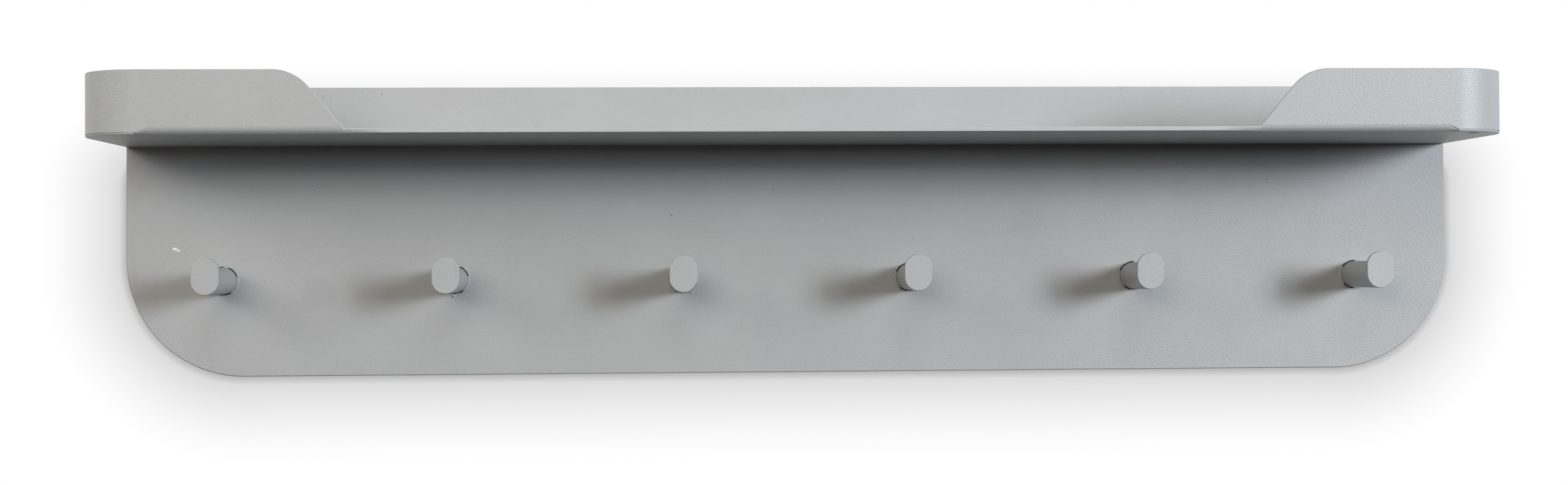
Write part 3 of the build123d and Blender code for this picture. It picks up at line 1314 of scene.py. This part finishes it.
@dataclass
class WeldBeads:
    """The rippled beads inside the tray and the ground rings behind the pegs."""

    finish: Material
    ring_finish: Material
    crown: float = 2.9 * MM
    root: float = 0.4 * MM  # how deep the crown's middle lies in both sheets
    bite: float = 0.3 * MM  # how deep the bead is cut off in both sheets
    ripple: float = 1.5 * MM
    ripple_pitch: float = 1.25 * MM
    skin: float = 0.28 * MM
    corner_arc: float = math.radians(70.0)
    tray_corner: float = 28.0 * MM  # inside
    tray_gauge: float = 2.0 * MM
    side_stitch: float = 18.0 * MM
    end_bead: float = 14.0 * MM
    stitch: float = 25.0 * MM
    stitch_count: int = 7
    lump_grain: float = 2.0 * MM
    lump_depth: float = 0.12 * MM
    ring_steps: int = 32
    ring_crown: float = 0.8 * MM
    ring_depth: float = 0.42 * MM
    ring_sunk: float = 1.3  # how many of its depths a ring's middle lies below the wall face
    ring_skin: float = 0.2 * MM
    ring_lump_grain: float = 1.2 * MM
    ring_lump_depth: float = 0.15 * MM

    def drop(self, name: str, root: Vector, first: Vector, second: Vector) -> Workpiece:
        """One ripple in the corner of two sheets.

        Args:
            name: its name.
            root: where the sheets meet.
            first: the direction out of one sheet.
            second: the direction out of the other.

        Returns:
            The ripple, cut off inside both sheets.
        """
        ball = bpy.ops.mesh.primitive_uv_sphere_add
        travel = first.cross(second)
        span = Vector([self.ripple if abs(part) > 0.5 else self.crown for part in travel])
        middle = root - self.root * (first + second)
        drop = Workpiece(name, ball, segments=24, ring_count=16, radius=1, location=middle, scale=span)
        for outwards in (first, second):
            drop.slice_off(root - self.bite * outwards, -outwards)
        return drop

    def finish_off(self, bead: Workpiece, node: str, pitch: float = 0.0, count: int = 1) -> None:
        """Gives a row of ripples one skin, repeats it along the rack and hands it over.

        Args:
            bead: the row of ripples.
            node: the node that it stands for.
            pitch: from one stitch to the next.
            count: the number of stitches.
        """
        bead.modify("REMESH", mode="VOXEL", voxel_size=self.skin)
        if count > 1:
            bead.repeat(Vector((pitch, 0, 0)), count)
        bead.roughen(self.lump_grain, self.lump_depth)
        bead.hand_over(self.finish, COAT_SLOT, node, crease=LUMPY_CREASE)

    def run(self, bead: Workpiece, length: float, travel: Vector) -> None:
        """Repeats a ripple that stands at the middle of a run of that length.

        Args:
            bead: the ripple.
            length: the run's length.
            travel: the run's direction.
        """
        count = round(length / self.ripple_pitch) - 1
        bead.reopen()
        bead.pick_all()
        bpy.ops.transform.translate(value=-travel * self.ripple_pitch * (count - 1) / 2)
        bead.repeat(travel * self.ripple_pitch, count)

    def floor_seam(self) -> None:
        """The stitches between the floor and the back plate."""
        low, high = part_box("floor_seam_welds")
        pitch = (high.x - low.x - self.stitch) / (self.stitch_count - 1)
        root = Vector((low.x + self.stitch / 2, high.y, low.z))
        bead = self.drop("floor_seam_beads", root, Vector((0, -1, 0)), Vector((0, 0, 1)))
        self.run(bead, self.stitch, Vector((1, 0, 0)))
        self.finish_off(bead, "floor_seam_welds", pitch, self.stitch_count)

    def corner_seam(self, side: int, side_name: str) -> None:
        """The bead around one rounded corner and the stitch along its side.

        Args:
            side: -1 for the left end, 1 for the right.
            side_name: the same as a word.
        """
        node = f"corner_seam_weld_{side_name}"
        low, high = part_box(node)
        wall_x = high.x if side > 0 else low.x
        up, inwards = Vector((0, 0, 1)), Vector((-side, 0, 0))
        front_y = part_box("shelf_tray")[0].y + self.tray_gauge
        centre = Vector((wall_x - side * self.tray_corner, front_y + self.tray_corner, low.z))
        root = Vector((wall_x, high.y - self.side_stitch / 2, low.z))
        stitch = self.drop(f"corner_seam_bead_{side_name}", root, inwards, up)
        self.run(stitch, self.side_stitch, Vector((0, 1, 0)))
        arc = self.drop("corner_arc", Vector((wall_x, centre.y, low.z)), inwards, up)
        arc.pick_all()
        start = (math.pi / 2 - self.corner_arc) / 2
        bpy.ops.transform.rotate(value=side * start, orient_axis="Z", center_override=centre)
        arc.pick_all()
        bpy.ops.mesh.spin(
            steps=round(self.corner_arc * self.tray_corner / self.ripple_pitch), dupli=True,
            angle=side * self.corner_arc, center=centre, axis=(0, 0, 1),
        )
        stitch.join(arc)
        self.finish_off(stitch, node)

    def end_joint(self, side: int, side_name: str) -> None:
        """The upright bead where one side wall meets the back plate.

        Args:
            side: -1 for the left end, 1 for the right.
            side_name: the same as a word.
        """
        node = f"end_joint_weld_{side_name}"
        low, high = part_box(node)
        wall_x = high.x if side > 0 else low.x
        root = Vector((wall_x, high.y, (low.z + high.z) / 2))
        bead = self.drop(f"end_joint_bead_{side_name}", root, Vector((-side, 0, 0)), Vector((0, -1, 0)))
        self.run(bead, self.end_bead, Vector((0, 0, 1)))
        self.finish_off(bead, node)

    def peg_rings(self) -> None:
        """The rings that close the peg holes from behind, ground flush."""
        low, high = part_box("peg_welds")
        axis = peg_axis(PEG_NUMBERS[0])
        radius = axis.x - low.x
        sunk = self.ring_sunk * self.ring_depth
        middle = Vector((axis.x - radius + self.ring_crown / 2, high.y - sunk, axis.z))
        span = Vector((self.ring_crown, self.ring_depth, self.ring_crown))
        ring = Workpiece(
            "peg_ring_welds", bpy.ops.mesh.primitive_uv_sphere_add,
            segments=16, ring_count=12, radius=1, location=middle, scale=span,
        )
        ring.pick_all()
        angle = 2 * math.pi * (1 - 1 / self.ring_steps)
        bpy.ops.mesh.spin(steps=self.ring_steps, dupli=True, angle=angle, center=axis, axis=(0, 1, 0))
        ring.modify("REMESH", mode="VOXEL", voxel_size=self.ring_skin)
        ring.roughen(self.ring_lump_grain, self.ring_lump_depth)
        ring.repeat(peg_axis(2) - peg_axis(1), len(PEG_NUMBERS))
        ring.hand_over(self.ring_finish, WELD_SLOT, "peg_welds", crease=LUMPY_CREASE)

    def build(self) -> None:
        """Makes all the beads."""
        self.floor_seam()
        for side, side_name in ((-1, "left"), (1, "right")):
            self.corner_seam(side, side_name)
            self.end_joint(side, side_name)
        self.peg_rings()


# ---------------------------------------------------------------- studio


@dataclass(frozen=True)
class Lamp:
    """A soft square lamp: degrees to the right of and above the rack's middle, metres and watts."""

    name: str
    turn: float
    rise: float
    distance: float
    size: float
    power: float
    colour: Triple


@dataclass(frozen=True)
class Studio:
    """Wall, floor, lamps and camera."""

    lamps: tuple[Lamp, ...] = (
        Lamp("key_lamp", 47.0, 7.0, 2.8, 0.55, 27.9, (0.816, 0.889, 1.0)),
        Lamp("high_key_lamp", 47.0, 12.0, 2.4, 0.5, 11.2, (1.0, 0.951, 0.989)),
        Lamp("near_key_lamp", 38.0, 9.0, 2.4, 0.6, 14.8, (0.767, 0.897, 1.0)),
        Lamp("fill_lamp", -15.0, 16.0, 2.4, 0.85, 10.3, (1.0, 0.923, 0.726)),
        Lamp("low_fill_lamp", -15.0, 5.0, 2.4, 0.85, 5.9, (1.0, 0.887, 0.867)),
        Lamp("left_lamp", -55.0, 24.0, 2.4, 0.85, 10.9, (1.0, 0.941, 0.972)),
        Lamp("side_lamp", -80.0, 18.0, 1.6, 0.6, 4.3, (0.951, 0.993, 1.0)),
        Lamp("top_lamp", 5.0, 36.0, 2.4, 0.85, 7.5, (0.924, 0.973, 1.0)),
        Lamp("back_lamp", 165.0, 2.0, 2.4, 0.85, 45.0, (1.0, 1.0, 1.0)),
    )
    aim_height: float = -0.05
    floor_colour: Colour = (0.9, 0.9, 0.9, 1.0)
    floor_glow: float = 0.8
    floor_fade: float = 0.6  # from the middle of the floor to where it starts to turn white
    floor_gloss: float = 0.12  # the share of its light that gloss gets
    wall_bounce: float = 0.2  # the share of the wall's light that other surfaces get
    shade_corner: float = 61.0 * MM
    shade_top: float = -41.0 * MM
    shade_lift: float = 1.7  # how much faster the shade fades upwards
    shade_reach: float = 48.0 * MM
    shade_depth: float = 0.33
    shade_power: float = 1.55
    contact_reach: float = 4.5 * MM
    contact_depth: float = 0.22
    wall_gap: float = 0.5 * MM  # between the wall and the back plate
    wall_reach: float = 6.0
    floor_level: float = -1.5
    eye: Triple = (-0.0623, -1.0890, -0.0859)
    turn: float = 0.0513  # radians, towards +X
    tilt: float = 0.0133  # radians, upwards
    roll: float = -0.0060
    focal_pixels: float = 3373.6
    picture_width: float = 2576.0
    sensor: float = 36.0

    def camera(self) -> None:
        """Adds the camera."""
        bpy.ops.object.camera_add()
        camera = bpy.context.object
        camera.name = "camera"
        camera.matrix_world = (
            Matrix.Translation(self.eye)
            @ Matrix.Rotation(-self.turn, 4, "Z")
            @ Matrix.Rotation(math.pi / 2 + self.tilt, 4, "X")
            @ Matrix.Rotation(self.roll, 4, "Z")
        )
        camera.data.sensor_width = self.sensor
        camera.data.lens = self.sensor * self.focal_pixels / self.picture_width
        bpy.context.scene.camera = camera

    def wall_paint(self) -> Material:
        """White with a soft shade around the rack, seen only from the front.

        Returns:
            The material.
        """
        low, high = CAD_BOX
        graph = Graph("studio_wall_white")
        x, z = graph.axis("X"), graph.axis("Z")
        beside = (x.above(0) - x.below(0) - (high.x - self.shade_corner)).above(0)
        under = (low.z + self.shade_corner - z).above(0)
        over = (z - self.shade_top).above(0) * self.shade_lift
        away = (beside.across(under + over) - self.shade_corner).above(0)
        shade = (1 - away / self.shade_reach).above(0) ** self.shade_power * self.shade_depth
        shade = shade + (1 - away / self.contact_reach).above(0) * self.contact_depth
        light = graph.node("ShaderNodeEmission", inputs={
            "Color": graph.blend(shade, WHITE, BLACK), "Strength": 1.0})
        return self.one_sided(graph, light.outputs[0], 1.0, self.wall_bounce)

    def floor_paint(self) -> Material:
        """White that keeps a shadow and ends in the white of the air, seen only from above.

        Returns:
            The material.
        """
        graph = Graph("studio_floor_white")
        white = graph.node("ShaderNodeBsdfDiffuse", inputs={"Color": self.floor_colour})
        outwards = graph.away_from((0.0, 0.0, self.floor_level)).between(self.floor_fade, self.wall_reach / 2)
        dimmed = (self.floor_glow, self.floor_glow, self.floor_glow, 1.0)
        light = graph.blend(outwards, dimmed, WHITE)
        glow = graph.node("ShaderNodeEmission", inputs={"Color": light, "Strength": 1.0})
        both = graph.node("ShaderNodeAddShader", inputs={0: white.outputs[0], 1: glow.outputs[0]})
        return self.one_sided(graph, both.outputs[0], self.floor_gloss, 0.0)

    def one_sided(self, graph: Graph, shader: Socket, gloss: float, bounce: float) -> Material:
        """Ends a tree in a shader that is seen only from the front.

        Args:
            graph: the tree.
            shader: what the camera sees.
            gloss: the share of it that shows in gloss.
            bounce: the share of it that lights other surfaces.

        Returns:
            The material.
        """
        path = graph.node("ShaderNodeLightPath")
        seen = Value(graph, path.outputs["Is Camera Ray"])
        seen = seen + Value(graph, path.outputs["Is Glossy Ray"]) * gloss
        seen = seen + Value(graph, path.outputs["Is Diffuse Ray"]) * bounce
        behind = Value(graph, graph.node("ShaderNodeNewGeometry").outputs["Backfacing"])
        clear = graph.node("ShaderNodeBsdfTransparent")
        shown = graph.node("ShaderNodeMixShader", inputs={0: seen * (1 - behind), 1: clear.outputs[0], 2: shader})
        graph.node("ShaderNodeOutputMaterial", inputs={"Surface": shown.outputs[0]})
        return graph.material

    def backdrop(self) -> None:
        """Adds the wall and the floor."""
        for name, place, turn, white in (
            ("studio_wall", (0.0, self.wall_gap, 0.0), math.pi / 2, self.wall_paint()),
            ("studio_floor", (0.0, 0.0, self.floor_level), 0.0, self.floor_paint()),
        ):
            bpy.ops.mesh.primitive_plane_add(size=self.wall_reach, location=place, rotation=(turn, 0.0, 0.0))
            sheet = bpy.context.object
            sheet.name = name
            bpy.ops.object.transform_apply(location=True, rotation=True, scale=True)
            sheet.data.materials.append(white)

    def lamp(self, lamp: Lamp) -> None:
        """Adds a square soft lamp that faces the middle of the rack.

        Args:
            lamp: its place, size and light.
        """
        aim = Vector((0.0, 0.0, self.aim_height))
        turn, rise = math.radians(lamp.turn), math.radians(lamp.rise)
        outwards = Vector((math.sin(turn) * math.cos(rise), -math.cos(turn) * math.cos(rise), math.sin(rise)))
        place = aim + lamp.distance * outwards
        bpy.ops.object.light_add(type="AREA", location=place)
        light = bpy.context.object
        light.name = lamp.name
        light.rotation_euler = (aim - place).to_track_quat("-Z", "Y").to_euler()
        light.data.size = lamp.size
        light.data.energy = lamp.power
        light.data.color = lamp.colour

    def build(self) -> None:
        """Adds the whole studio."""
        bpy.ops.object.select_all(action="DESELECT")
        self.camera()
        self.backdrop()
        for lamp in self.lamps:
            self.lamp(lamp)
        self.air()

    def air(self) -> None:
        """Surrounds the studio with white that only the camera sees."""
        world = bpy.data.worlds.new("studio_air")
        bpy.context.scene.world = world
        world.use_nodes = True
        nodes, links = world.node_tree.nodes, world.node_tree.links
        dark = nodes["Background"]
        dark.inputs["Strength"].default_value = 0.0
        white = nodes.new("ShaderNodeBackground")
        white.inputs["Color"].default_value = WHITE
        mixed, path = nodes.new("ShaderNodeMixShader"), nodes.new("ShaderNodeLightPath")
        links.new(path.outputs["Is Camera Ray"], mixed.inputs[0])
        links.new(dark.outputs[0], mixed.inputs[1])
        links.new(white.outputs[0], mixed.inputs[2])
        links.new(mixed.outputs[0], nodes["World Output"].inputs["Surface"])


def main() -> None:
    """Builds the rack's looks and its studio."""
    logging.basicConfig(level=logging.INFO, format="%(name)s: %(message)s")
    finish = PowderCoat()
    coat = finish.material("powder_coat_plain")
    tray_coat = finish.material("powder_coat_tray", TRAY_BLEMISHES, cut=True)
    plate_coat = finish.material("powder_coat_plate", PLATE_BLEMISHES, ground=True)
    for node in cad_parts.values():
        node.data.materials.clear()
        node.data.materials.append(coat)
    ShelfTray(tray_coat).build()
    BackPlate(plate_coat).build()
    PegCaps(coat).build()
    PegCollars(coat).build()
    WeldBeads(coat, BareWeld().material("bare_weld")).build()
    Studio().build()
    bpy.context.scene.view_settings.view_transform = "Standard"


if __name__ == "__main__":
    main()
